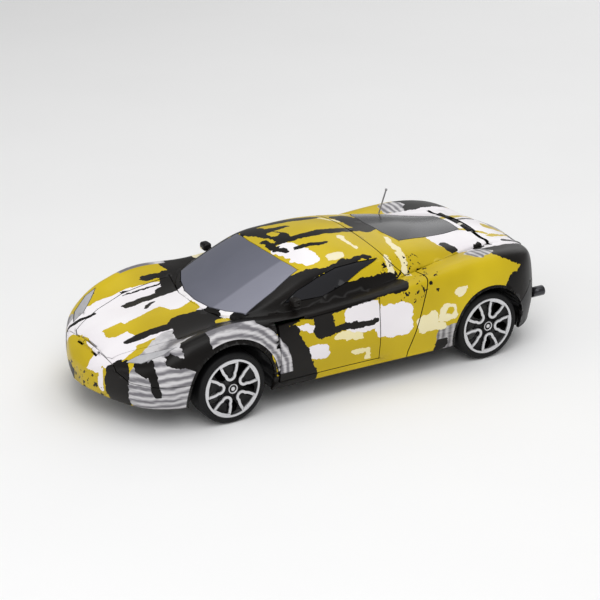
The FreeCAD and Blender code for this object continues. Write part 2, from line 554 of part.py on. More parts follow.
# ================================================================ rear unit
def rear_chassis():
    behind = side_prism(REAR_SPLIT, -BODY_WIDTH, BODY_WIDTH, -SPLIT_GAP)
    body = chassis_floor(TAIL_X, stretch_x(-20)).common(behind)
    liner = wheel_liner(REAR_AXLE_X, REAR_ARCH_GAP).common(behind)
    towers = [box(HIP_AXIS_X - 3.5, HIP_AXIS_X + 3.5, -HIP_TOWER, HIP_TOWER, FLOOR_TOP - 0.5, HIP_AXIS_Z - 1.5),
              rod_y(HIP_AXIS_X, HIP_AXIS_Z, HIP_KNUCKLE_R, -HIP_TOWER, HIP_TOWER),
              box(HIP_AXIS_X - 2, HIP_AXIS_X + 2, -HIP_TOWER, HIP_TOWER, HIP_AXIS_Z - 2, HIP_AXIS_Z)]
    side = [liner,
            box(HIP_AXIS_X - 3.5, HIP_AXIS_X + 3.5, OUTER_TOWER_Y, OUTER_TOWER_END_Y,
                FLOOR_TOP - 0.5, HIP_AXIS_Z - 1.5),
            box(HIP_AXIS_X - 2, HIP_AXIS_X + 2, OUTER_TOWER_Y, OUTER_TOWER_END_Y, HIP_AXIS_Z - 2, HIP_AXIS_Z),
            box(HIP_AXIS_X - 3.5, LIFT_X + 3.5, OUTER_TOWER_Y, OUTER_TOWER_END_Y, LIFT_Z - 5, LIFT_Z + 4),
            rod_y(HIP_AXIS_X, HIP_AXIS_Z, HIP_KNUCKLE_R, OUTER_TOWER_Y, OUTER_TOWER_END_Y),
            box(REAR_AXLE_X - 6, REAR_AXLE_X + 6, AXLE_END_Y, GEAR_Y - 0.4, FLOOR_TOP - 0.5, TYRE_R + 4),
            box(MOTOR_X - 4, MOTOR_X + 4, MOTOR_Y + 1, MOTOR_Y + MOTOR_LENGTH - 2, FLOOR_TOP - 0.5, MOTOR_Z - 4),
            box(REAR_AXLE_X - 5, REAR_AXLE_X + 1.9, MOTOR_Y + 1, MOTOR_Y + 4, FLOOR_TOP - 0.5, TYRE_R + 3),
            box(ROLLER_X - 3, ROLLER_X + 3, ROLLER_WIDTH / 2 + 0.4, ROLLER_WIDTH / 2 + 2.4, ROLLER_Z, FLOOR_TOP),
            rod_y(ROLLER_X, ROLLER_Z, 2.6, ROLLER_WIDTH / 2 + 0.4, ROLLER_WIDTH / 2 + 2.4)]
    side += [boss(x, y) for x, y in screw_places(BASE_SCREWS) if y > 0]
    lift_cradle = box(LIFT_X - 5, LIFT_X + 1, MOTOR_Y + 1, MOTOR_Y + MOTOR_LENGTH - 2, FLOOR_TOP - 0.5, LIFT_Z - 4)
    body = merge(body, *towers, *side, *[mirrored(piece) for piece in side], lift_cradle)
    cuts = [rod_y(HIP_AXIS_X, HIP_AXIS_Z, HIP_PIN_R, -20, 20),
            rod_y(LIFT_X, LIFT_Z, MOTOR_R, MOTOR_Y, MOTOR_Y + MOTOR_LENGTH),
            rod_y(LIFT_X, LIFT_Z, MOTOR_SHAFT_R + 0.4, OUTER_TOWER_Y - 1, MOTOR_Y + 1),
            rod_y(ROLLER_X, ROLLER_Z, 1.2, -ROLLER_WIDTH, ROLLER_WIDTH)]
    for side_cut in (rod_y(REAR_AXLE_X, TYRE_R, AXLE_R + RUNNING_CLEARANCE, 1, WELL_Y + 1),
                     rod_y(MOTOR_X, MOTOR_Z, MOTOR_R, MOTOR_Y, MOTOR_Y + MOTOR_LENGTH),
                     box(REAR_AXLE_X - 7.5, REAR_AXLE_X + 7.5, GEAR_Y - 0.3, GEAR_Y + GEAR_WIDTH + 0.4, 0, FLOOR_TOP)):
        cuts += [side_cut, mirrored(side_cut)]
    cuts += [screw_bore(x, y) for x, y in screw_places(BASE_SCREWS)]
    return largest(body.cut(cuts))


def motor(x, z, y0, shaft_bore):
    """Small can motor along Y with a closed end boss; its shaft turns in the bore."""
    can = rod_y(x, z, MOTOR_R, y0, y0 + MOTOR_LENGTH - 1.5)
    end = rod_y(x, z, MOTOR_R - 1.5, y0 + MOTOR_LENGTH - 1.5, y0 + MOTOR_LENGTH)
    return can.fuse(end).cut(rod_y(x, z, shaft_bore, y0 - 1, y0 + 4))


def pinion(teeth, module, width, x, z, y0, shaft_end, phase):
    wheel = gear(teeth, module, width, 0, phase).translated(Vector(x, y0, z))
    return wheel.fuse(rod_y(x, z, MOTOR_SHAFT_R, y0 + width, shaft_end))


def exhaust_tip():
    x0 = TAIL_X + 2.5
    y = stretch_y(33)
    tube = rod_x(y, 20.5, EXHAUST_R, TAIL_X - EXHAUST_REACH, x0)
    return tube.cut(rod_x(y, 20.5, EXHAUST_R - EXHAUST_WALL, TAIL_X - EXHAUST_REACH - 1, x0 - 1.5))


def rear_unit():
    NODES["rear_chassis"] = rear_chassis()
    NODES["hip_pin"] = rod_y(HIP_AXIS_X, HIP_AXIS_Z, HIP_PIN_R, -OUTER_TOWER_END_Y, OUTER_TOWER_END_Y)
    NODES["lift_motor"] = motor(LIFT_X, LIFT_Z, MOTOR_Y, MOTOR_SHAFT_R + RUNNING_CLEARANCE)
    # A gap of the pinion faces a tooth of the sector, so that the pair is in mesh at rest.
    lift_phase = LIFT_PINION_ANGLE + 180 + 180 / LIFT_PINION_TEETH
    NODES["lift_pinion"] = pinion(LIFT_PINION_TEETH, LIFT_MODULE, SECTOR_WIDTH, LIFT_X, LIFT_Z, SECTOR_Y,
                                  MOTOR_Y + 3, lift_phase)
    drive_motor = motor(MOTOR_X, MOTOR_Z, MOTOR_Y, MOTOR_SHAFT_R + RUNNING_CLEARANCE)
    drive_pinion = pinion(PINION_TEETH, GEAR_MODULE, GEAR_WIDTH, MOTOR_X, MOTOR_Z, GEAR_Y,
                          MOTOR_Y + 3, PINION_ANGLE + 180 + 180 / PINION_TEETH)
    axle_gear = gear(AXLE_TEETH, GEAR_MODULE, GEAR_WIDTH, 0, PINION_ANGLE).translated(
        Vector(REAR_AXLE_X, GEAR_Y, TYRE_R))
    axle = axle_gear.fuse(rod_y(REAR_AXLE_X, TYRE_R, AXLE_R, AXLE_END_Y, RIM_FACE_Y - 1.0))
    for side, turn in (("left", lambda shape: shape), ("right", mirrored)):
        NODES[side + "_drive_motor"] = turn(drive_motor)
        NODES[side + "_drive_pinion"] = turn(drive_pinion)
        NODES["rear_" + side + "_axle"] = turn(axle)
    roller = rod_y(ROLLER_X, ROLLER_Z, ROLLER_R, -ROLLER_WIDTH / 2, ROLLER_WIDTH / 2)
    NODES["support_roller"] = roller.cut(rod_y(ROLLER_X, ROLLER_Z, 1.2 + RUNNING_CLEARANCE, -30, 30))
    NODES["roller_pin"] = rod_y(ROLLER_X, ROLLER_Z, 1.2, -ROLLER_WIDTH / 2 - 2.4, ROLLER_WIDTH / 2 + 2.4)
    tip = exhaust_tip()
    NODES["exhaust_tips"] = both(tip)
    hole = rod_x(stretch_y(33), 20.5, EXHAUST_R, TAIL_X - EXHAUST_REACH, TAIL_X + 2.5)
    NODES["rear_bumper"] = largest(NODES["rear_bumper"].cut([hole, mirrored(hole)]))
    NODES["rear_screws"] = Part.makeCompound([screw(x, y) for x, y in screw_places(BASE_SCREWS)])


# ================================================================ wheels
def tyre(x):
    ring = rod_y(x, TYRE_R, TYRE_R, RIM_FACE_Y - TYRE_WIDTH, RIM_FACE_Y)
    corners = [edge for edge in ring.Edges if isinstance(edge.Curve, Part.Circle)]
    ring = ring.makeFillet(1.4, corners)
    return ring.cut(rod_y(x, TYRE_R, RIM_R, 0, BODY_WIDTH))


def rim(x):
    """Barrel, a disc with round-ended windows between its loops, and a hub bored for the axle."""
    barrel = rod_y(x, TYRE_R, RIM_R, RIM_FACE_Y - TYRE_WIDTH + 0.4, RIM_FACE_Y - 0.3)
    barrel = barrel.cut(rod_y(x, TYRE_R, RIM_R - RIM_WALL, 0, RIM_FACE_Y - RIM_DISC))
    barrel = barrel.cut(rod_y(x, TYRE_R, RIM_R - RIM_WALL, RIM_FACE_Y - 1.0, BODY_WIDTH))
    hub = rod_y(x, TYRE_R, HUB_R, HUB_IN_Y, RIM_FACE_Y - 0.6)
    windows = []
    for k in range(WHEEL_WINDOWS):
        cut_depth = 2 * RIM_DISC
        window = rod_y(6.6, 0, WINDOW_R * 0.62, 0, cut_depth)
        window = window.fuse(rod_y(8.7, 0, WINDOW_R, 0, cut_depth))
        window = window.rotated(Vector(0, 0, 0), Vector(0, 1, 0), 90 + 360 * k / WHEEL_WINDOWS)
        windows.append(window.translated(Vector(x, RIM_FACE_Y - RIM_DISC - 0.5, TYRE_R)))
    return largest(barrel.cut(windows).fuse(hub).removeSplitter())


def wheels():
    cap = rod_y(0, TYRE_R, HUB_R - 0.8, RIM_FACE_Y - 0.6, RIM_FACE_Y + 0.1)
    for end, x, fit in (("front", FRONT_AXLE_X, RUNNING_CLEARANCE), ("rear", REAR_AXLE_X, 0.0)):
        bore = rod_y(x, TYRE_R, AXLE_R + fit, 0, RIM_FACE_Y - 1.0)
        for side, turn in (("left", lambda shape: shape), ("right", mirrored)):
            NODES[end + "_" + side + "_tyre"] = turn(tyre(x))
            NODES[end + "_" + side + "_rim"] = turn(rim(x).cut(bore))
            NODES[end + "_" + side + "_hub_cap"] = turn(cap.translated(Vector(x, 0, 0)))


# ================================================================ front unit
def hip_arm():
    """Beam under the canopy from the bulkhead back to the hip hinge, with its knuckle and gear mount."""
    outline = [(-19, 38.5), (-45, 40), (-76, 42.8), (HIP_X + 2.4, 43), (HIP_X + 2.4, 75), (-19, 75)]
    beam = side_prism(outline, ARM_Y, ARM_END_Y).common(ROOM)
    knuckle = rod_y(HIP_AXIS_X, HIP_AXIS_Z, HIP_KNUCKLE_R, ARM_Y, ARM_END_Y)
    neck = box(HIP_AXIS_X, HIP_AXIS_X + 3, ARM_Y, ARM_END_Y, HIP_AXIS_Z - 2, HIP_AXIS_Z + 0.6)
    return beam.fuse([knuckle, neck])


def lift_sector():
    """Toothed arc about the hip, driven by the lift pinion, with a web up to the left hip arm."""
    wheel = gear(SECTOR_TEETH, LIFT_MODULE, SECTOR_WIDTH, HIP_PIN_R + RUNNING_CLEARANCE, LIFT_PINION_ANGLE)
    wheel = wheel.translated(Vector(HIP_AXIS_X, SECTOR_Y, HIP_AXIS_Z))
    arc = wedge_y(HIP_AXIS_X, HIP_AXIS_Z, 30, SECTOR_START, SECTOR_END, SECTOR_Y - 1, SECTOR_Y + SECTOR_WIDTH + 1)
    hub = rod_y(HIP_AXIS_X, HIP_AXIS_Z, HIP_KNUCKLE_R, SECTOR_Y, SECTOR_Y + SECTOR_WIDTH)
    web = box(HIP_AXIS_X + 1, HIP_AXIS_X + 9, SECTOR_Y, ARM_Y, HIP_AXIS_Z - 2, HIP_AXIS_Z + 0.4)
    bore = rod_y(HIP_AXIS_X, HIP_AXIS_Z, HIP_PIN_R + RUNNING_CLEARANCE, 0, 20)
    return wheel.common(arc).fuse([hub, web]).removeSplitter().cut(bore)


def door_lug(z0, z1):
    round_end = rod_z(DOOR_AXIS_X, DOOR_AXIS_Y, DOOR_KNUCKLE_R - 0.1, z0, z1)
    arm = box(DOOR_AXIS_X - 1.3, DOOR_AXIS_X + 1.3, DOOR_AXIS_Y - 6, DOOR_AXIS_Y, z0, z1)
    return round_end.fuse(arm).common(ROOM)


DOOR_LOW_Z = FLOOR_TOP + 0.4
DOOR_LUG = 2.2
DOOR_TOP_Z = stretch_z(33.5)


def front_chassis():
    behind = side_prism(REAR_SPLIT, -BODY_WIDTH, BODY_WIDTH, SPLIT_GAP)
    body = chassis_floor(stretch_x(-40), stretch_x(103)).cut(behind)
    body = body.cut(box(stretch_x(-40), stretch_x(-24.3), -99, 99, 0, 99))
    tray_end = BATTERY_X + BATTERY_LENGTH + 1
    side = [wheel_liner(FRONT_AXLE_X, FRONT_ARCH_GAP),
            box(BATTERY_X - 2, tray_end, TRAY_Y, TRAY_Y + TRAY_WALL, FLOOR_TOP - 0.5, BOARD_Z),
            box(stretch_x(-22), stretch_x(-20.5), 0, stretch_y(31), FLOOR_TOP - 0.5, stretch_z(40)),
            box(FRONT_AXLE_X - 4, FRONT_AXLE_X + 4, 22, WELL_Y - 0.5, FLOOR_TOP - 0.5, TYRE_R + 4),
            box(DOOR_AXIS_X + 1, DOOR_AXIS_X + 5, DOOR_AXIS_Y - 7, DOOR_AXIS_Y - 4.5, FLOOR_TOP - 0.5, DOOR_TOP_Z),
            box(DOOR_AXIS_X - 1.3, DOOR_AXIS_X + 3, DOOR_AXIS_Y - 7, DOOR_AXIS_Y - 4.5,
                DOOR_TOP_Z - DOOR_LUG, DOOR_TOP_Z),
            door_lug(FLOOR_Z, DOOR_LOW_Z),
            door_lug(DOOR_TOP_Z - DOOR_LUG, DOOR_TOP_Z),
            hip_arm()]
    side += [boss(x, y) for x, y in screw_places(TORSO_SCREWS) if y > 0]
    body = merge(body, *side, *[mirrored(piece) for piece in side])
    side_cuts = [rod_y(FRONT_AXLE_X, TYRE_R, AXLE_R, 21, WELL_Y + 2),
                 rod_y(HIP_AXIS_X, HIP_AXIS_Z, HIP_PIN_R + RUNNING_CLEARANCE, 0, 30),
                 rod_z(DOOR_AXIS_X, DOOR_AXIS_Y, DOOR_PIN_R, FLOOR_Z + 0.6, DOOR_TOP_Z + 1)]
    cuts = [box(BATTERY_X - 1, tray_end, -TRAY_Y, TRAY_Y, 0, FLOOR_TOP),
            box(SWITCH_X - 1.9, SWITCH_X + 1.9 + SWITCH_TRAVEL, -3.3, 3.3, 0, FLOOR_TOP)]
    cuts += side_cuts + [mirrored(cut) for cut in side_cuts]
    cuts += [screw_bore(x, y) for x, y in screw_places(TORSO_SCREWS)]
    return largest(body.cut(cuts))


def circuit_board():
    board = box(BATTERY_X + 2, BATTERY_X + 44, -TRAY_Y - 1, TRAY_Y + 1, BOARD_Z, BOARD_Z + 1.2)
    chips = [box(BATTERY_X + x, BATTERY_X + x + dx, y, y + dy, BOARD_Z + 1, BOARD_Z + 1 + height)
             for x, dx, y, dy, height in ((8, 8, -6, 12, 1.6), (22, 5, -14, 7, 1.4), (30, 6, 6, 9, 3.0), (10, 5, 12, 5, 4.0))]
    return merge(board, *chips)


def door_mirror():
    """Mirror housing on a short stalk that ends on the cabin's side."""
    x, y, z = stretch_x(MIRROR[0]), stretch_y(MIRROR[1]), stretch_z(MIRROR[2])
    housing = box(x - 1.8, x + 2.2, y - 2.4, y + 2.6, z - 1.7, z + 1.9)
    housing = housing.makeFillet(1.2, housing.Edges)
    stalk = Part.makeCylinder(0.9, 8.0, Vector(x - 0.6, y, z - 0.4), Vector(-0.25, -1, -0.28))
    return largest(housing.fuse(stalk).cut(OUTER))


def antenna():
    x = stretch_x(ANTENNA_BASE[0])
    y = stretch_y(ANTENNA_BASE[1])
    z = stretch_z(smooth(ROOF_Z, ANTENNA_BASE[0])) - WALL - 1.2
    lean = Vector(ANTENNA_LEAN, 0.0, 1.0)
    rod = Part.makeCylinder(ANTENNA_R, ANTENNA_LENGTH + WALL, Vector(x, y, z), lean)
    tip_length = ANTENNA_LENGTH + WALL
    tip = Vector(x, y, z) + lean.normalize() * tip_length
    return rod.fuse(Part.makeSphere(ANTENNA_R + 0.25, tip))


def front_unit():
    NODES["front_chassis"] = front_chassis()
    NODES["lift_sector"] = lift_sector()
    cells = [rod_x(y, BATTERY_Z, BATTERY_R, BATTERY_X, BATTERY_X + BATTERY_LENGTH - 1.2).fuse(
        rod_x(y, BATTERY_Z, 2.6, BATTERY_X + 1, BATTERY_X + BATTERY_LENGTH))
        for y in (-BATTERY_PITCH, 0, BATTERY_PITCH)]
    NODES["battery_cells"] = Part.makeCompound(cells)
    NODES["battery_door"] = box(BATTERY_X - 0.7, BATTERY_X + BATTERY_LENGTH + 0.7, -TRAY_Y + 0.3, TRAY_Y - 0.3,
                                FLOOR_Z, FLOOR_Z + 1.4)
    NODES["circuit_board"] = circuit_board()
    knob = box(SWITCH_X - 1.5, SWITCH_X + 1.5, -1.6, 1.6, FLOOR_Z - 0.9, FLOOR_Z + 0.6)
    plate = box(SWITCH_X - 1.6, SWITCH_X + 1.6, -3.0, 3.0, FLOOR_Z + 0.5, FLOOR_TOP - 0.1)
    NODES["power_switch"] = knob.fuse(plate)
    NODES["front_screws"] = Part.makeCompound([screw(x, y) for x, y in screw_places(TORSO_SCREWS)])
    NODES["front_stub_axles"] = both(rod_y(FRONT_AXLE_X, TYRE_R, AXLE_R, 21, RIM_FACE_Y - 1.3))
    NODES["door_pins"] = both(rod_z(DOOR_AXIS_X, DOOR_AXIS_Y, DOOR_PIN_R, FLOOR_Z + 0.6, DOOR_TOP_Z))
    NODES["antenna"] = antenna()
    NODES["mirrors"] = both(door_mirror())


# ================================================================ hood and head
def hood_hinge():
    """Ear of the nose, knuckles of the hood flap and the wire pin through both."""
    top = HOOD_AXIS_Z + 0.2
    ear = rod_y(HOOD_AXIS_X, HOOD_AXIS_Z, HOOD_KNUCKLE_R, -HOOD_EAR, HOOD_EAR)
    ear_web = box(HOOD_AXIS_X, HOOD_AXIS_X + 4, -HOOD_EAR, HOOD_EAR, HOOD_AXIS_Z - 4, top).common(OUTER)
    pin_bore = rod_y(HOOD_AXIS_X, HOOD_AXIS_Z, HOOD_PIN_R, -20, 20)
    NODES["front_bumper"] = largest(merge(NODES["front_bumper"], ear, ear_web).cut(pin_bore))
    knuckle = rod_y(HOOD_AXIS_X, HOOD_AXIS_Z, HOOD_KNUCKLE_R, HOOD_EAR + HIP_PLAY, HOOD_KNUCKLE_END)
    web = box(HOOD_AXIS_X - 4, HOOD_AXIS_X, HOOD_EAR + HIP_PLAY, HOOD_KNUCKLE_END,
              HOOD_AXIS_Z - HOOD_KNUCKLE_R, HOOD_AXIS_Z + 3).common(OUTER)
    knuckles = [knuckle, web, mirrored(knuckle), mirrored(web)]
    running_bore = rod_y(HOOD_AXIS_X, HOOD_AXIS_Z, HOOD_PIN_R + RUNNING_CLEARANCE, -20, 20)
    NODES["hood_flap"] = largest(merge(NODES["hood_flap"], *knuckles).cut(running_bore))
    NODES["hood_pin"] = rod_y(HOOD_AXIS_X, HOOD_AXIS_Z, HOOD_PIN_R, -HOOD_KNUCKLE_END, HOOD_KNUCKLE_END)


HEAD_CROWN = 25.0            # from the hood hinge back to the crown of the head
HEAD_CHIN = 6.5
HEAD_HALF = 8.5
HEAD_FACE_Z = FLOOR_TOP + 2.4
HEAD_BACK_Z = HEAD_FACE_Z + 11.0


def robot_head():
    """Helmet hanging face down under the hood, its crown to the rear, with ear discs and a crest."""
    crown = HOOD_AXIS_X - HEAD_CROWN
    chin = HOOD_AXIS_X - HEAD_CHIN
    skull = box(crown, chin, -HEAD_HALF, HEAD_HALF, HEAD_FACE_Z, HEAD_BACK_Z)
    long_edges = [e for e in skull.Edges if abs(e.tangentAt(e.FirstParameter).x) > 0.9]
    crown_edges = [e for e in skull.Edges if e.BoundBox.XMax < crown + 0.1]
    skull = skull.makeChamfer(2.2, [e for e in long_edges if e not in crown_edges])
    neck = box(chin - 10, chin - 4, -4, 4, HEAD_BACK_Z - 1, HEAD_BACK_Z + 20).common(INNER)
    ears = [rod_y(crown + 9, HEAD_FACE_Z + 5.5, 3.2, HEAD_HALF - 0.5, HEAD_HALF + 1.5)]
    ears.append(mirrored(ears[0]))
    crest = box(crown - 1.6, crown + 12, -1.1, 1.1, HEAD_FACE_Z + 2, HEAD_BACK_Z + 1.5)
    jaw = box(chin - 6, chin + 1.2, -4.2, 4.2, HEAD_FACE_Z - 0.6, HEAD_FACE_Z + 3)
    head = merge(skull, neck, crest, jaw, *ears)
    return head.cut(visor_block(crown))


def visor_block(crown):
    outline = [(crown + 5, -7.0), (crown + 5, 7.0), (crown + 9.4, 7.0), (crown + 10.6, 2.0),
               (crown + 9.2, 0.0), (crown + 10.6, -2.0), (crown + 9.4, -7.0)]
    return face_of([Vector(x, y, HEAD_FACE_Z - 0.5) for x, y in outline]).extrude(Vector(0, 0, 1.3))


# ================================================================ doors as arms
def left_arm():
    """Upper arm and fist on the inside of the left door, with the knuckle on the door's hinge pin."""
    z0 = DOOR_LOW_Z + HIP_PLAY
    z1 = DOOR_TOP_Z - DOOR_LUG - HIP_PLAY
    knuckle = rod_z(DOOR_AXIS_X, DOOR_AXIS_Y, DOOR_KNUCKLE_R, z0, z1).common(INNER)
    hinge_web = box(DOOR_AXIS_X - 6, DOOR_AXIS_X, DOOR_AXIS_Y - 1.2, DOOR_AXIS_Y + 4, z0, z1).common(INNER)
    arm = box(DOOR_AXIS_X - 34, DOOR_AXIS_X - 3, DOOR_AXIS_Y - 7, DOOR_AXIS_Y - 1, z0 + 5, z1 - 3)
    ribs = [box(DOOR_AXIS_X - back, DOOR_AXIS_X - back + 2, DOOR_AXIS_Y - 2, DOOR_AXIS_Y + 5, z0 + 3, z1 - 2)
            .common(INNER) for back in (32, 18, 5)]
    fist = box(DOOR_AXIS_X - 42, DOOR_AXIS_X - 35, DOOR_AXIS_Y - 7.5, DOOR_AXIS_Y - 0.5, z0 + 6, z1 - 5)
    wrist = rod_x(DOOR_AXIS_Y - 4, (z0 + z1) / 2, 2.4, DOOR_AXIS_X - 36, DOOR_AXIS_X - 33)
    arm = merge(knuckle, hinge_web, arm, wrist, fist, *ribs)
    fingers = [box(DOOR_AXIS_X - 43, DOOR_AXIS_X - 39, DOOR_AXIS_Y - 8, DOOR_AXIS_Y, z, z + 0.6)
               for z in (z0 + 8.2, z0 + 10.6, z0 + 13)]
    cuts = fingers + [rod_z(DOOR_AXIS_X, DOOR_AXIS_Y, DOOR_PIN_R + RUNNING_CLEARANCE, 0, 60)]
    return largest(arm.cut(cuts))


def hood_and_doors():
    hood_hinge()
    NODES["robot_head"] = robot_head()
    NODES["visor"] = visor_block(HOOD_AXIS_X - HEAD_CROWN)
    NODES["left_arm"] = left_arm()
    NODES["right_arm"] = mirrored(NODES["left_arm"])


rear_unit()
wheels()
front_unit()
hood_and_doors()


def write_parts():
    os.makedirs("parts", exist_ok=True)
    for name, shape in NODES.items():
        print(name, len(shape.Solids), round(shape.Volume), shape.isValid())
        shape.exportStep("parts/" + name + ".step")


write_parts()
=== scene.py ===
"""Looks of a transforming robot car: printed shell, glass, wheels, robot parts, floor, light and camera."""
import json
import math

import bpy
from mathutils import Matrix, Vector


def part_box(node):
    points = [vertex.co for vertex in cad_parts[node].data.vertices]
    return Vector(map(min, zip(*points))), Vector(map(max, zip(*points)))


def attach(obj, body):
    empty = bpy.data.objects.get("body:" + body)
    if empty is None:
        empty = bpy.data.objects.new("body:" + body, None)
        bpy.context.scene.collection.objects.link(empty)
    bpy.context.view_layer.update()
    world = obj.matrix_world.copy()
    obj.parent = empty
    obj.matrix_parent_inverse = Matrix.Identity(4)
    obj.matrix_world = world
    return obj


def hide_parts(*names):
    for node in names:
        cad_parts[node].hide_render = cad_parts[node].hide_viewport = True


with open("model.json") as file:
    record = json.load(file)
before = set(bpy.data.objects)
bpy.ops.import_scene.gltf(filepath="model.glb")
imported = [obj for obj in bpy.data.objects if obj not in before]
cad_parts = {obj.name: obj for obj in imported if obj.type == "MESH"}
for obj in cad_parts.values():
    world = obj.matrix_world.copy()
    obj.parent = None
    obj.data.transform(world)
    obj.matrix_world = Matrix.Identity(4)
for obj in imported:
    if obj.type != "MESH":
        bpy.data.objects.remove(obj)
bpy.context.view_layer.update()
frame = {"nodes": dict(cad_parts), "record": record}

MM = 0.001
BODY_OF = {node: body for body, nodes in frame["record"]["behaviour"]["bodies"].items() for node in nodes}
SLOT_OF = {part["node"]: part["material_slot"] for part in frame["record"]["subparts"]}

# real sizes, in millimetres
FRONT_AXLE = 59.0
REAR_AXLE = -69.0
WHEEL_HEIGHT = 15.5
WHEEL_FACE = 44.5
RIM_RADIUS = 12.9
LOOP_FOOT = 2.6
LOOP_MOUTH = 4.6
HUB_CAP_RADIUS = 2.1
BAND_INNER = 21.5         # grey band round the front arch
BAND_OUTER = 29.5
BAND_FRONT = 68.0         # the band ends at the top of the wheel
BAND_BACK = 26.0
BAND_FOOT = 17.0
BAND_INBOARD = 38.5
FRONT_LIP = 20.6          # radius of the dark lips of the arches
REAR_LIP = 19.6
LIP_INBOARD = 30.0
STRIPE_GAP = 3.1          # from one brushed stripe to the next
STRIPES_LEVEL_FROM = 72.0
BODY_MIDDLE = (0, 0, 22)
TEAR_REACH = 4.0          # how far torn edges may carry a patch
FLOOR_SIZE = 8            # metres
FLOOR_DROP = 0.0002


# ---------------------------------------------------------------- camera, floor, light
def aim(made, target):
    made.rotation_euler = (Vector(target) - made.location).to_track_quat("-Z", "Y").to_euler()


def softbox(name, place, target, size, power):
    lamp = bpy.data.lights.new(name, "AREA")
    lamp.shape = "RECTANGLE"
    lamp.size = size
    lamp.size_y = size
    lamp.energy = power
    made = bpy.data.objects.new(name, lamp)
    bpy.context.scene.collection.objects.link(made)
    made.location = place
    aim(made, target)


def studio():
    lens = bpy.data.cameras.new("camera")
    lens.lens = 120.69
    lens.sensor_width = 36
    lens.clip_start = 0.01
    eye = bpy.data.objects.new("camera", lens)
    bpy.context.scene.collection.objects.link(eye)
    eye.location = (0.4204, 0.6988, 0.3577)
    aim(eye, (0.00012, 0, 0.02663))
    bpy.context.scene.camera = eye
    softbox("key_softbox", (0.35, 0.55, 0.75), (0, 0, 0.02), 0.7, 3.8)
    softbox("top_softbox", (-0.15, 0.05, 0.9), (0, 0, 0.02), 0.9, 2.9)
    softbox("nose_softbox", (0.9, -0.1, 0.4), (0.05, 0, 0.02), 0.6, 1.1)
    softbox("back_softbox", (-0.8, -0.5, 0.5), (0, 0, 0.02), 0.7, 1.4)
    world = bpy.data.worlds.new("studio_white")
    world.use_nodes = True
    world.node_tree.nodes["Background"].inputs["Color"].default_value = (1, 1, 1, 1)
    world.node_tree.nodes["Background"].inputs["Strength"].default_value = 0.4
    bpy.context.scene.world = world
    bpy.context.scene.view_settings.view_transform = "Standard"


# ---------------------------------------------------------------- material building blocks
def colour(hex_code):
    """sRGB hex to linear RGBA."""
    out = []
    for k in (0, 2, 4):
        c = int(hex_code[k:k + 2], 16) / 255
        out.append(c / 12.92 if c <= 0.04045 else ((c + 0.055) / 1.055) ** 2.4)
    return (*out, 1.0)


class Finish:
    """A material being built: add() makes one node with its settings and links."""

    def __init__(self, name):
        self.material = bpy.data.materials.new(name)
        self.material.use_nodes = True
        self.tree = self.material.node_tree
        self.shader = self.tree.nodes["Principled BSDF"]
        self.place = self.add("ShaderNodeTexCoord")
        scaled = self.add("ShaderNodeVectorMath", {0: self.place.outputs["Object"], 1: (1000, 1000, 1000)},
                          operation="MULTIPLY")
        self.mm = scaled.outputs["Vector"]

    def add(self, kind, links=None, **settings):
        made = self.tree.nodes.new(kind)
        for name, value in settings.items():
            setattr(made, name, value)
        for socket, source in (links or {}).items():
            if isinstance(source, bpy.types.NodeSocket):
                self.tree.links.new(source, made.inputs[socket])
            else:
                made.inputs[socket].default_value = source
        return made

    def calc(self, operation, *values):
        return self.add("ShaderNodeMath", dict(enumerate(values)), operation=operation).outputs[0]

    def noise(self, scale, detail=2.0, roughness=0.5, vector=None):
        """Noise whose features are about 1/scale millimetres."""
        return self.add("ShaderNodeTexNoise", {"Vector": vector or self.mm, "Scale": scale, "Detail": detail,
                                               "Roughness": roughness})

    def mix(self, factor, first, second):
        return self.add("ShaderNodeMix", {0: factor, 6: first, 7: second}, data_type="RGBA").outputs[2]

    def bump(self, height, strength, distance_mm):
        made = self.add("ShaderNodeBump", {"Height": height, "Strength": strength,
                                           "Distance": distance_mm * MM})
        self.tree.links.new(made.outputs["Normal"], self.shader.inputs["Normal"])

    def set(self, **values):
        for name, value in values.items():
            socket = self.shader.inputs[name.replace("_", " ")]
            if isinstance(value, bpy.types.NodeSocket):
                self.tree.links.new(value, socket)
            else:
                socket.default_value = value
        return self.material


# ---------------------------------------------------------------- printed livery
YELLOW, WHITE, CREAM, BLACK, GREY, STEEL = "yellow", "white", "cream", "black", "grey", "steel"
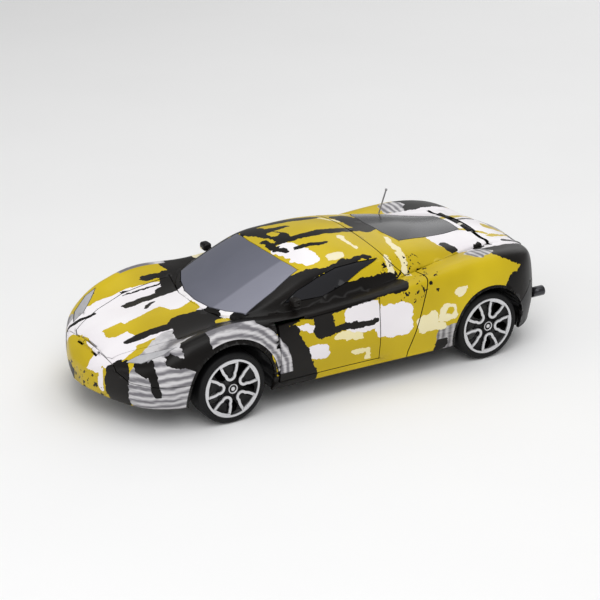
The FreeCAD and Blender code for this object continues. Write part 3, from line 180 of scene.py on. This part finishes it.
# One row for each printed patch: ink, centre, half sizes (mm), heading and pitch (degrees). Later rows lie
# over earlier ones. Side patches are printed on both sides, top and nose patches where they stand.
SIDE_PATCHES = [
    # rear quarter, tail and haunch
    (BLACK, (-100, 42, 24), (17, 30, 19), 0, 12),
    (BLACK, (-92, 36, 45), (20, 9, 7), -8, 4),
    (BLACK, (-84, 46, 30), (7, 6, 8), 0, 0),
    (GREY, (-70, 34, 47), (6, 5.5, 3), 20, 0),
    (YELLOW, (-90, 46, 20), (1.4, 6, 6), 0, 12),
    (CREAM, (-53, 47, 36), (3, 5, 2.2), 0, 0),
    (STEEL, (-47, 46, 16), (6.5, 6, 6), 0, 0),
    (BLACK, (-43.5, 46, 13), (3, 6, 3), 0, 0),
    (CREAM, (-36, 47, 25), (5.5, 5, 4), 0, 20),
    (CREAM, (-46, 47, 27.5), (4.5, 5, 3.5), 0, 0),
    (YELLOW, (-47, 47, 28), (2, 6, 1.3), 0, 0),
    (CREAM, (-40, 47, 22.5), (6, 5, 1.6), 0, 0),
    # pillar drips
    (CREAM, (-33, 27, 50.5), (1.7, 11, 8), 0, 0),
    (CREAM, (-25.5, 35, 46.5), (1.4, 11, 6), 0, 0),
    # door
    (WHITE, (-19.5, 45, 29.5), (9, 6, 7.5), 0, -14),
    (WHITE, (-3, 45, 33.5), (8.5, 6, 6.5), 0, 0),
    (YELLOW, (-19, 45, 38), (6, 6, 1.6), 0, 0),
    (WHITE, (18.5, 45, 23.2), (5.5, 6, 3.2), 0, -10),
    (WHITE, (25, 45, 34.6), (6, 6, 1.3), 0, -8),
    (CREAM, (3, 45, 26.8), (7.5, 6, 1.9), 0, -12),
    (CREAM, (-3, 45, 18.6), (4.6, 6, 1.1), 0, 0),
    (CREAM, (-6.2, 45, 16.4), (1.3, 6, 2.4), 0, 0),
    (BLACK, (15, 45, 34.5), (4.6, 6, 6), 0, 8),
    (BLACK, (2.5, 45, 31.3), (13, 6, 1.5), 0, -2),
    (BLACK, (0, 40, 42.4), (28, 9, 3.4), 0, 4),
    (BLACK, (35, 36, 41.5), (14, 10, 5), 0, 3),
    (BLACK, (26, 33, 47), (21, 6, 4.2), 0, 23),
    (BLACK, (-2, 33, 52.6), (17, 6, 1.3), 0, 6),
    # front arch
    (BLACK, (29, 45, 18), (8.5, 8, 12), 0, 20),
    (BLACK, (31, 45, 27), (6, 8, 10), 0, 14),
    (BLACK, (37, 44, 8), (6, 9, 8), 0, 0),
]
TOP_PATCHES = [
    # hood
    (WHITE, (76, -5, 33), (31, 24, 14), 0, 0),
    (YELLOW, (70, 4, 35), (17, 7.5, 9), 8, 0),
    (WHITE, (59, -4, 37), (7, 5.5, 7), 20, 0),
    (WHITE, (97, 8, 29), (8, 14, 6), 0, 0),
    (YELLOW, (104, -5, 25), (4.5, 12, 4), 0, 0),
    (YELLOW, (89, 1, 32), (5, 5, 6), 0, 0),
    (BLACK, (66, -17.6, 35), (12, 2.6, 9), 6, 0),
    (BLACK, (55, -19, 37), (6, 4.4, 9), 0, 0),
    (BLACK, (62.5, -26, 36), (11, 0.45, 7), 0, 0),
    (BLACK, (69, -9.6, 35), (4, 1.1, 8), 38, 0),
    (BLACK, (49, -25.5, 39), (6, 5, 8), 0, 0),
    (BLACK, (95, -22, 29), (7, 1.3, 6), -12, 0),
    (BLACK, (54, -31.5, 38), (9, 1.5, 6), 0, 0),
    (STEEL, (98, -30, 27), (5, 3, 6), 20, 0),
    # near fender and lamp
    (GREY, (80, 32, 33), (16, 11, 9), 35, 0),
    (BLACK, (80, 42, 31), (8, 6, 2.6), -10, 0),
    (BLACK, (70, 13.5, 35), (22, 2.6, 8), 0, 0),
    (BLACK, (60, 16.5, 37), (11, 7.5, 8), -6, 0),
    (BLACK, (52, 31, 38), (24, 9, 8), -18, 0),
    (BLACK, (60, 44, 30), (20, 10, 13), 0, 0),
    (BLACK, (74, 43, 31), (6, 5, 4), -20, 0),
    (WHITE, (49, 20.5, 38.5), (2.8, 3, 5), 0, 0),
    (YELLOW, (52.5, 24, 37), (2.8, 2, 5), -20, 0),
    (CREAM, (27, -43, 40), (5, 6, 4), 0, 0),
    # roof
    (WHITE, (11, 15, 56), (5.5, 11, 8), 12, 0),
    (BLACK, (15, 3, 56), (1.6, 9, 8), 10, 0),
    (BLACK, (2, 13, 57), (8, 1.4, 6), -14, 0),
    (BLACK, (1, -22, 56), (21, 3.2, 9), -20, 0),
    (BLACK, (11, -12, 56), (4.2, 14, 8), 14, 0),
    (YELLOW, (9, -8, 57), (2.4, 3, 5), 0, 0),
    (BLACK, (6, -13, 57), (7, 2, 6), -20, 0),
    (BLACK, (-7, 5, 58), (21, 2.3, 6), -9, 0),
    (BLACK, (-28, -2, 57), (5.5, 13, 6), 6, 0),
    (CREAM, (-13, 17, 57), (1.2, 6.5, 6), 10, 0),
    (CREAM, (-2.5, 25, 54.5), (4, 2, 5), 0, 0),
    (CREAM, (-20, -8, 58), (1.0, 6.5, 6), 20, 0),
    # rear deck
    (WHITE, (-80, 0, 46), (28, 29, 8), 0, 0),
    (YELLOW, (-90, -9, 45), (13, 1.8, 8), 20, 0),
    (BLACK, (-88, -3, 45), (8, 0.9, 8), 14, 0),
    (YELLOW, (-98, 6, 43), (6, 3, 8), -10, 0),
    (BLACK, (-60.5, 25, 48.5), (2.6, 3.6, 5), 30, 0),
    (BLACK, (-104, 22, 41), (5.5, 12, 6), 0, 0),
    (STEEL, (-104, -4, 41), (4, 12, 3), 0, 0),
    (YELLOW, (-82, 12, 45), (9, 1.1, 8), -24, 0),
    (YELLOW, (-94, 16, 44), (7, 1.2, 8), 20, 0),
    (BLACK, (-97, 24, 42), (7, 1.6, 7), -10, 0),
    (BLACK, (-75, 27, 46), (3.5, 1.6, 6), 30, 0),
]
NOSE_PATCHES = [
    (BLACK, (100, 24, 19), (6, 5.2, 10), -25, 0),
    (GREY, (88, 39, 18), (14.5, 8, 11.5), -42, 0),
    (BLACK, (91, 38, 24), (1.7, 9, 7), -42, 14),
    (BLACK, (104, -24, 18), (6, 4, 6), 20, 0),
    (WHITE, (103, 11, 24.5), (6, 5, 3.5), -20, 0),
    (WHITE, (104, 16, 19), (6, 1.3, 5), 0, 0),
    (YELLOW, (104, 6, 24), (6, 1.6, 3), 0, 0),
    (BLACK, (106, -8, 15), (5, 5, 3), 0, 0),
    (BLACK, (95, 35, 28), (5, 8, 2.2), -42, -20),
]


def patch(f, here, row):
    """Mask of one patch: a rounded block in the torn coordinates."""
    ink, centre, half, heading, pitch = row
    turn = (0.0, math.radians(pitch), math.radians(heading))
    local = f.add("ShaderNodeMapping", {"Vector": here, "Location": centre, "Rotation": turn, "Scale": half},
                  vector_type="TEXTURE").outputs[0]
    square = f.add("ShaderNodeVectorMath", {0: local, 1: local}, operation="MULTIPLY").outputs[0]
    fourth = f.add("ShaderNodeVectorMath", {0: square, 1: square}, operation="DOT_PRODUCT").outputs["Value"]
    return f.calc("LESS_THAN", fourth, 1.0)


def reaches(row, low, high, fold):
    """Whether a patch can lie on a panel whose box is low to high, in millimetres."""
    ink, centre, half, heading, pitch = row
    turn = Matrix.Rotation(math.radians(heading), 3, "Z") @ Matrix.Rotation(math.radians(pitch), 3, "Y")
    for axis in range(3):
        spread = sum(abs(turn[axis][k]) * half[k] for k in range(3)) + TEAR_REACH
        near, far = low[axis], high[axis]
        if axis == 1 and fold:
            far = max(abs(low[1]), abs(high[1]))
            near = 0 if low[1] < 0 < high[1] else min(abs(low[1]), abs(high[1]))
        if centre[axis] + spread < near or centre[axis] - spread > far:
            return False
    return True


def livery(node):
    """Lacquer print on moulded ABS: yellow, white and black torn camouflage with brushed grey panels, under
    thin satin lacquer with a faint orange peel. Inside faces stay bare dark plastic."""
    f = Finish("printed_lacquer_on_" + node)
    low, high = [tuple(value / MM for value in corner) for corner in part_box(node)]
    split = f.add("ShaderNodeSeparateXYZ", {0: f.mm})
    near = f.calc("ABSOLUTE", split.outputs["Y"])
    folded = f.add("ShaderNodeCombineXYZ", {0: split.outputs["X"], 1: near, 2: split.outputs["Z"]}).outputs[0]
    # torn edges: big tears of about 8 mm and small ones of about 2 mm
    tears = []
    for scale, reach in ((0.11, 7.0), (0.45, 2.2)):
        shift = f.add("ShaderNodeVectorMath", {0: f.noise(scale, 3, 0.6).outputs["Color"],
                                               1: (0.5, 0.5, 0.5)}, operation="SUBTRACT").outputs[0]
        tears.append(f.add("ShaderNodeVectorMath", {0: shift, 1: (reach, reach * 0.6, reach * 0.75)},
                           operation="MULTIPLY").outputs[0])
    tear = f.add("ShaderNodeVectorMath", {0: tears[0], 1: tears[1]}, operation="ADD").outputs[0]
    torn = f.add("ShaderNodeVectorMath", {0: f.mm, 1: tear}, operation="ADD").outputs[0]
    torn_folded = f.add("ShaderNodeVectorMath", {0: folded, 1: tear}, operation="ADD").outputs[0]

    # brushed grey: stripes about 3 mm apart, round the front wheel behind it and level in front of it
    wheel = f.add("ShaderNodeVectorMath", {0: folded, 1: (FRONT_AXLE, 0, WHEEL_HEIGHT)},
                  operation="SUBTRACT").outputs[0]
    flat = f.add("ShaderNodeVectorMath", {0: wheel, 1: (1, 0, 1)}, operation="MULTIPLY").outputs[0]
    reach = f.add("ShaderNodeVectorMath", {0: flat}, operation="LENGTH").outputs["Value"]
    level = f.calc("ADD", split.outputs["Z"], f.calc("MULTIPLY", split.outputs["X"], 0.12))
    ahead = f.calc("GREATER_THAN", split.outputs["X"], STRIPES_LEVEL_FROM)
    run = f.add("ShaderNodeMix", {0: ahead, 2: reach, 3: level}).outputs[0]
    wobble = f.calc("MULTIPLY", f.noise(0.15).outputs["Fac"], 2.5)
    wave = f.calc("SINE", f.calc("MULTIPLY", f.calc("ADD", run, wobble), 2 * math.pi / STRIPE_GAP))
    drawn_out = f.add("ShaderNodeMapping", {"Vector": f.mm, "Scale": (0.12, 0.12, 1.2)}).outputs[0]
    grain = f.noise(1.0, 3, 0.6, drawn_out)
    stripe = f.calc("ADD", f.calc("MULTIPLY", wave, 0.3), grain.outputs["Fac"])
    brushed = f.add("ShaderNodeValToRGB", {0: stripe})
    brushed.color_ramp.elements[0].position = 0.25
    brushed.color_ramp.elements[0].color = colour("77757A")
    brushed.color_ramp.elements[1].position = 0.8
    brushed.color_ramp.elements[1].color = colour("D2D0D2")

    shade = f.noise(0.03, 2, 0.5).outputs["Fac"]
    dull = f.add("ShaderNodeMapRange", {0: shade, 1: 0.35, 2: 0.65}).outputs[0]
    inks = {
        YELLOW: f.mix(dull, colour("D6BC20"), colour("C2A818")),
        WHITE: f.mix(dull, colour("FBF8FA"), colour("EFEAEE")),
        CREAM: f.mix(dull, colour("F2E9CB"), colour("F1E6B4")),
        BLACK: f.mix(dull, colour("0B0908"), colour("161311")),
        GREY: brushed.outputs[0],
        STEEL: f.mix(stripe, colour("4A474A"), colour("C9C7C8")),
    }
    paint = inks[YELLOW]
    for rows, here in ((SIDE_PATCHES, torn_folded), (TOP_PATCHES, torn), (NOSE_PATCHES, torn)):
        for row in rows:
            if reaches(row, low, high, rows is SIDE_PATCHES):
                paint = f.mix(patch(f, here, row), paint, inks[row[0]])
    # grey band round the front arch
    ragged = f.calc("ADD", reach, f.calc("MULTIPLY", f.noise(0.2).outputs["Fac"], 2.0))
    ring = f.calc("MULTIPLY", f.calc("GREATER_THAN", reach, BAND_INNER),
                  f.calc("LESS_THAN", ragged, BAND_OUTER))
    behind = f.calc("LESS_THAN", f.add("ShaderNodeSeparateXYZ", {0: torn}).outputs["X"], BAND_FRONT)
    outside = f.calc("GREATER_THAN", near, BAND_INBOARD)
    above = f.calc("GREATER_THAN", split.outputs["Z"], BAND_FOOT)
    ring = f.calc("MULTIPLY", f.calc("MULTIPLY", ring, behind), f.calc("MULTIPLY", outside, above))
    ring = f.calc("MULTIPLY", ring, f.calc("GREATER_THAN", split.outputs["X"], BAND_BACK))
    paint = f.mix(ring, paint, inks[GREY])
    # dark lips round both wheel arches
    back = f.add("ShaderNodeVectorMath", {0: folded, 1: (REAR_AXLE, 0, WHEEL_HEIGHT)},
                 operation="SUBTRACT").outputs[0]
    back = f.add("ShaderNodeVectorMath", {0: back, 1: (1, 0, 1)}, operation="MULTIPLY").outputs[0]
    back = f.add("ShaderNodeVectorMath", {0: back}, operation="LENGTH").outputs["Value"]
    lip = f.calc("MAXIMUM", f.calc("LESS_THAN", reach, FRONT_LIP), f.calc("LESS_THAN", back, REAR_LIP))
    paint = f.mix(f.calc("MULTIPLY", lip, f.calc("GREATER_THAN", near, LIP_INBOARD)), paint, inks[BLACK])
    # speckles on the rear pillar and over the nose
    spots = f.noise(0.42, 2, 0.6).outputs["Fac"]
    spotted = f.calc("GREATER_THAN", spots, 0.61)
    for centre, half in (((-31, 40, 45), (13, 12, 10)), ((104, 0, 12), (9, 21, 8))):
        zone = patch(f, torn_folded, (BLACK, centre, half, 0, 0))
        paint = f.mix(f.calc("MULTIPLY", zone, spotted), paint, inks[BLACK])
    # bare plastic inside: faces that look towards the middle of the car
    outward = f.add("ShaderNodeVectorMath", {0: f.mm, 1: BODY_MIDDLE}, operation="SUBTRACT").outputs[0]
    outward = f.add("ShaderNodeVectorMath", {0: outward, 1: (0.45, 1, 1)}, operation="MULTIPLY").outputs[0]
    facing = f.add("ShaderNodeVectorMath", {0: outward, 1: f.place.outputs["Normal"]},
                   operation="DOT_PRODUCT")
    inside = f.calc("LESS_THAN", facing.outputs["Value"], -2.0)
    paint = f.mix(inside, paint, colour("1D1C1C"))
    f.bump(f.noise(0.8, 1, 0.5).outputs["Fac"], 0.05, 0.2)
    gloss = f.add("ShaderNodeMapRange", {0: shade, 3: 0.30, 4: 0.42}).outputs[0]
    return f.set(Base_Color=paint, Roughness=gloss, Coat_Weight=0.07, Coat_Roughness=0.15,
                 Specular_IOR_Level=0.16)


# ---------------------------------------------------------------- other finishes
def moulded(name, dark, light, rough, bump_mm=0.08, grain=1.6, coat=0.0, metallic=0.0, specular=0.4):
    """Moulded plastic or metal with cloudy colour, fine grain and uneven gloss."""
    f = Finish(name)
    cloud = f.noise(0.06, 3, 0.6).outputs["Fac"]
    fine = f.noise(grain, 3, 0.6).outputs["Fac"]
    tone = f.calc("ADD", f.calc("MULTIPLY", cloud, 0.7), f.calc("MULTIPLY", fine, 0.3))
    f.bump(fine, 0.25, bump_mm)
    gloss = f.add("ShaderNodeMapRange", {0: tone, 3: max(rough - 0.06, 0.02), 4: rough + 0.08}).outputs[0]
    return f.set(Base_Color=f.mix(tone, colour(dark), colour(light)), Roughness=gloss, Coat_Weight=coat,
                 Coat_Roughness=0.08, Metallic=metallic, Specular_IOR_Level=specular)


def smoked_glass_with_painted_sheen(name, dark, light, sheen_slope, sheen_edge_mm):
    """Smoked window print under gloss plastic: a dark field, and over it a paler slanting band that is a
    painted reflection (painted sheen).
    """
    f = Finish(name)
    split = f.add("ShaderNodeSeparateXYZ", {0: f.mm})
    x_part = f.calc("MULTIPLY", split.outputs["X"], sheen_slope[0])
    y_part = f.calc("MULTIPLY", split.outputs["Y"], sheen_slope[1])
    z_part = f.calc("MULTIPLY", split.outputs["Z"], sheen_slope[2])
    along = f.calc("ADD", f.calc("ADD", x_part, y_part), z_part)
    # painted reflection: past the slanting edge the colour turns paler, with a sharp step and a broad
    # gradient, standing in for a sheen on the glass
    soft = f.add("ShaderNodeMapRange", {0: along, 1: sheen_edge_mm, 2: sheen_edge_mm + 1.5}).outputs[0]
    wide = f.add("ShaderNodeMapRange", {0: along, 1: sheen_edge_mm - 25, 2: sheen_edge_mm + 25}).outputs[0]
    tone = f.calc("ADD", f.calc("MULTIPLY", soft, 0.45), f.calc("MULTIPLY", wide, 0.55))
    cloud = f.noise(0.08, 2, 0.5).outputs["Fac"]
    tone = f.calc("ADD", tone, f.calc("MULTIPLY", f.calc("SUBTRACT", cloud, 0.5), 0.15))
    f.bump(f.noise(0.5, 1, 0.5).outputs["Fac"], 0.04, 0.2)
    return f.set(Base_Color=f.mix(tone, colour(dark), colour(light)),
                 Roughness=f.add("ShaderNodeMapRange", {0: cloud, 3: 0.16, 4: 0.26}).outputs[0],
                 Coat_Weight=0.12, Coat_Roughness=0.08, Specular_IOR_Level=0.3)


def rubber():
    """Soft moulded tyre: near black with dusty grey patches, matt."""
    f = Finish("moulded_rubber")
    dust = f.noise(0.5, 4, 0.7).outputs["Fac"]
    f.bump(f.noise(2.5, 2, 0.6).outputs["Fac"], 0.3, 0.08)
    return f.set(Base_Color=f.mix(dust, colour("060607"), colour("121213")), Roughness=0.62,
                 Specular_IOR_Level=0.25)


def jacket():
    """Printed battery sleeve: orange end, black body, fine scuffs."""
    f = Finish("printed_pvc_sleeve")
    x = f.add("ShaderNodeSeparateXYZ", {0: f.mm}).outputs["X"]
    scuff = f.noise(0.7, 3, 0.6).outputs["Fac"]
    sleeve = f.mix(scuff, colour("1B1B1D"), colour("2C2C2E"))
    body = f.mix(f.calc("GREATER_THAN", x, 16.0), sleeve, colour("B86A2A"))
    cap = f.calc("GREATER_THAN", x, 31.7)
    return f.set(Base_Color=f.mix(cap, body, colour("B9BABC")), Metallic=cap, Roughness=0.34)


def board_finish():
    """Solder mask over copper: green with paler traces."""
    f = Finish("solder_mask_on_glass_epoxy")
    track = f.add("ShaderNodeTexBrick", {"Vector": f.mm, "Scale": 0.3, "Mortar Size": 0.06,
                                         "Color1": colour("12532F"), "Color2": colour("0F4A2A"),
                                         "Mortar": colour("2E8A50")})
    return f.set(Base_Color=track.outputs["Color"], Roughness=0.3, Coat_Weight=0.4)


# ---------------------------------------------------------------- shared shaping tools
def clear_selection():
    if bpy.context.object and bpy.context.object.mode != "OBJECT":
        bpy.ops.object.mode_set(mode="OBJECT")
    for other in list(bpy.context.selected_objects):
        other.select_set(False)


def only(obj):
    clear_selection()
    obj.select_set(True)
    bpy.context.view_layer.objects.active = obj


def keep(obj, name, body, finish, slot, *replaced):
    """Names a finished piece and gives it its finish and its body; its slot argument is not used."""
    only(obj)
    bpy.ops.object.transform_apply(location=True, rotation=True, scale=True)
    obj.name = name
    obj.data.name = name
    obj.data.materials.clear()
    obj.data.materials.append(finish)
    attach(obj, body)
    if replaced:
        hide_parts(*replaced)
    return obj


def soften(obj, width_mm, segments=2, angle=35):
    only(obj)
    bevel = obj.modifiers.new("edge", "BEVEL")
    bevel.width = width_mm * MM
    bevel.segments = segments
    bevel.limit_method = "ANGLE"
    bevel.angle_limit = math.radians(angle)
    bevel.use_clamp_overlap = True
    bpy.ops.object.modifier_apply(modifier=bevel.name)


def dressed(node, finish):
    """A merged, smooth-shaded copy of a CAD node that stands for it."""
    source = frame["nodes"][node]
    clear_selection()
    made = bpy.data.objects.new(node + "_moulding", source.data.copy())
    bpy.context.scene.collection.objects.link(made)
    only(made)
    bpy.ops.object.mode_set(mode="EDIT")
    bpy.ops.mesh.select_all(action="SELECT")
    bpy.ops.mesh.remove_doubles(threshold=0.002 * MM)
    bpy.ops.object.mode_set(mode="OBJECT")
    bpy.ops.object.shade_smooth_by_angle(angle=math.radians(32))
    return keep(made, node + "_moulding", BODY_OF[node], finish, SLOT_OF[node], node)


# ---------------------------------------------------------------- wheels
def ring_of_points(count, radius_x, radius_z, place):
    clear_selection()
    bpy.ops.mesh.primitive_circle_add(vertices=count, radius=MM, fill_type="NGON", location=(0, 0, 0),
                                      rotation=(-math.pi / 2, 0, 0))
    made = bpy.context.object
    bpy.ops.object.transform_apply(rotation=True)
    made.scale = (radius_x, 1, radius_z)
    made.location = Vector(place) * MM
    bpy.ops.object.transform_apply(location=True, scale=True)
    return made


def wheel_loops(x, side, turn, name, body, finish):
    """Five silver loops and the outer ring of a wheel face, raised from the dark disc."""
    pieces = []
    y = WHEEL_FACE - 0.45
    # outer ring: a disc with its middle removed, extruded outwards
    ring = ring_of_points(72, RIM_RADIUS - 0.15, RIM_RADIUS - 0.15, (0, y, 0))
    bpy.ops.object.mode_set(mode="EDIT")
    bpy.ops.mesh.select_all(action="SELECT")
    bpy.ops.mesh.inset(thickness=1.0 * MM, depth=0)
    bpy.ops.mesh.delete(type="FACE")
    bpy.ops.mesh.select_all(action="SELECT")
    bpy.ops.mesh.extrude_region_move(TRANSFORM_OT_translate={"value": (0, 0.85 * MM, 0)})
    bpy.ops.object.mode_set(mode="OBJECT")
    pieces.append(ring)
    for k in range(5):
        loop = ring_of_points(40, 1, 1, (0, y, 0))
        for point in loop.data.vertices:
            # a round foot by the hub, straight sides that part, and a broad end on the outer ring
            across = point.co.x / MM
            up = point.co.z / MM
            if up < 0:
                point.co.x, point.co.z = LOOP_FOOT * across * MM, (6.1 + 2.6 * up) * MM
            else:
                climb = min(up / 0.8, 1)
                part = LOOP_FOOT + (LOOP_MOUTH - LOOP_FOOT) * climb ** 0.6
                shut = (1 - up) / 0.2 if up > 0.8 else 1
                point.co.x = math.copysign(part * shut, across) * MM
                point.co.z = (6.1 + 5.7 * climb + 0.5 * (1 - shut)) * MM
        only(loop)
        bpy.ops.object.mode_set(mode="EDIT")
        bpy.ops.mesh.select_all(action="SELECT")
        bpy.ops.mesh.inset(thickness=1.2 * MM, depth=0)
        bpy.ops.mesh.delete(type="FACE")
        bpy.ops.mesh.select_all(action="SELECT")
        bpy.ops.mesh.extrude_region_move(TRANSFORM_OT_translate={"value": (0, 0.7 * MM, 0)})
        bpy.ops.object.mode_set(mode="OBJECT")
        loop.data.transform(Matrix.Rotation(math.radians(turn + 72 * k), 4, "Y"))
        pieces.append(loop)
    clear_selection()
    for piece in pieces:
        piece.select_set(True)
    bpy.context.view_layer.objects.active = ring
    bpy.ops.object.join()
    made = bpy.context.object
    finish_face(made, x, side)
    soften(made, 0.16, 2, 40)
    bpy.ops.object.shade_smooth_by_angle(angle=math.radians(40))
    return keep(made, name, body, finish, "rim_plastic")


def finish_face(made, x, side):
    """Moves a piece modelled round the Y axis to its wheel and turns its faces outwards."""
    only(made)
    if side < 0:
        made.data.transform(Matrix.Rotation(math.pi, 4, "Z"))
    made.data.transform(Matrix.Translation(Vector((x, 0, WHEEL_HEIGHT)) * MM))
    bpy.ops.object.mode_set(mode="EDIT")
    bpy.ops.mesh.select_all(action="SELECT")
    bpy.ops.mesh.remove_doubles(threshold=0.005 * MM)
    bpy.ops.mesh.normals_make_consistent(inside=False)
    bpy.ops.object.mode_set(mode="OBJECT")


def hub_ring(x, side, name, body, finish):
    """Small cap with a raised rim and a raised round button in its middle."""
    cap = ring_of_points(40, HUB_CAP_RADIUS, HUB_CAP_RADIUS, (0, WHEEL_FACE, 0))
    bpy.ops.object.mode_set(mode="EDIT")
    bpy.ops.mesh.select_all(action="SELECT")
    bpy.ops.mesh.extrude_region_move(TRANSFORM_OT_translate={"value": (0, 0.62 * MM, 0)})
    bpy.ops.mesh.inset(thickness=0.35 * MM, depth=0)
    bpy.ops.mesh.inset(thickness=0.12 * MM, depth=-0.3 * MM)
    bpy.ops.mesh.inset(thickness=0.75 * MM, depth=0)
    bpy.ops.mesh.extrude_region_move(TRANSFORM_OT_translate={"value": (0, 0.22 * MM, 0)})
    bpy.ops.object.mode_set(mode="OBJECT")
    finish_face(cap, x, side)
    soften(cap, 0.08, 2, 40)
    bpy.ops.object.shade_smooth_by_angle(angle=math.radians(40))
    return keep(cap, name, body, finish, "cap_plastic")


studio()

# moulded plastics: satin blacks that hide their seams, a gloss black behind the silver of the wheels
black_abs = moulded("moulded_black_abs", "0D0C0E", "19181A", 0.42)
chassis_abs = moulded("textured_black_abs", "0A0A0B", "141415", 0.55, 0.12)
dark_disc = moulded("gloss_black_wheel_abs", "050506", "0E0E10", 0.36, specular=0.25)
# silver lacquer on plastic: bright, soft-edged highlights
silver = moulded("vacuum_silver_lacquer", "C4C4C7", "E6E6E8", 0.3, 0.03, 2.0, 0.3, 0.55, 0.5)
# windows are opaque: smoked print with a slanting paler band of painted reflection, the same from every side
windscreen_smoke_and_painted_sheen = smoked_glass_with_painted_sheen("smoked_windscreen_with_painted_sheen", "5E606D", "90919E", (-0.2, 1.0, -0.55), -19.0)
rear_glass_smoke_and_painted_sheen = smoked_glass_with_painted_sheen("smoked_rear_glass_with_painted_sheen", "1C1C1F", "3A3A3F", (-0.6, 0.6, 0.0), 36.0)
side_glass_smoke_and_painted_sheen = smoked_glass_with_painted_sheen("smoked_side_glass_with_painted_sheen", "202023", "3C3C41", (0.5, 0.0, 0.8), 60.0)
# lamps: cloudy grey lens over silver
lamp_finish = moulded("frosted_lamp_lens", "8C8B90", "D8D8DA", 0.2, 0.05, 0.6, 0.6)
tyre_rubber = rubber()
# metals: drawn pins and screws, plated motor cans; nylon gears stay milky
steel = moulded("drawn_steel", "8E8F92", "B4B5B8", 0.3, 0.03, 2.0, 0.0, 1.0)
can_steel = moulded("plated_motor_steel", "8A8B8E", "A9AAAD", 0.36, 0.03, 2.0, 0.0, 1.0)
gear_nylon = moulded("moulded_white_nylon", "CFCBC0", "E8E5DC", 0.45)
chrome = moulded("plated_black_chrome", "2B2B2E", "4A4A4E", 0.2, 0.02, 2.0, 0.3, 0.8)
# robot parts: satin gunmetal head, yellow arms, a glossy blue visor
head_plastic = moulded("satin_gunmetal_abs", "4A4C52", "6A6C73", 0.38, 0.05, 1.2, 0.2, 0.35)
arm_plastic = moulded("satin_yellow_abs", "B8981E", "CDAE2A", 0.38, 0.05, 1.2, 0.2)
visor_lens = moulded("blue_translucent_lens", "1E5FAE", "3F8FE0", 0.12, 0.02, 1.0, 0.8)
switch_abs = moulded("moulded_red_switch", "8E1A18", "B5302B", 0.4)

FINISH = {
    "black_shell": black_abs, "lamp_lens": lamp_finish, "chassis_plastic": chassis_abs,
    "tyre": tyre_rubber, "rim_plastic": dark_disc, "cap_plastic": dark_disc, "steel": steel,
    "motor_steel": can_steel, "gear_plastic": gear_nylon, "switch_plastic": switch_abs,
    "battery_jacket": jacket(),
    "board": board_finish(), "chrome_plastic": chrome, "head_plastic": head_plastic, "visor_lens": visor_lens,
    "window_plastic": windscreen_smoke_and_painted_sheen,
}
OWN_FINISH = {"windscreen": windscreen_smoke_and_painted_sheen, "rear_window": rear_glass_smoke_and_painted_sheen,
              "side_windows": side_glass_smoke_and_painted_sheen, "left_arm": arm_plastic, "right_arm": arm_plastic}

for node in sorted(frame["nodes"]):
    if SLOT_OF[node] in ("printed_shell", "mirror_plastic"):
        dressed(node, livery(node))
    else:
        dressed(node, OWN_FINISH.get(node, FINISH.get(SLOT_OF[node])))

for end, axle, turn in (("front", FRONT_AXLE, 8), ("rear", REAR_AXLE, -27)):
    for side_name, side in (("left", 1), ("right", -1)):
        body = end + "_" + side_name + "_wheel"
        wheel_loops(axle, side, turn, body + "_loops", body, silver)
        hub_ring(axle, side, body + "_cap_ring", body, silver)

# plain pale floor
bpy.ops.object.select_all(action="DESELECT")
bpy.ops.mesh.primitive_plane_add(size=FLOOR_SIZE, location=(0, 0, -FLOOR_DROP))
floor = bpy.context.object
floor.name = "floor"
paper = Finish("matt_white_paper")
paper.bump(paper.noise(0.8, 2, 0.5).outputs["Fac"], 0.05, 0.1)
floor.data.materials.append(paper.set(Base_Color=paper.mix(paper.noise(0.01).outputs["Fac"], colour("F4F4F4"),
                                                           colour("F8F8F8")), Roughness=0.9))

bpy.context.view_layer.update()
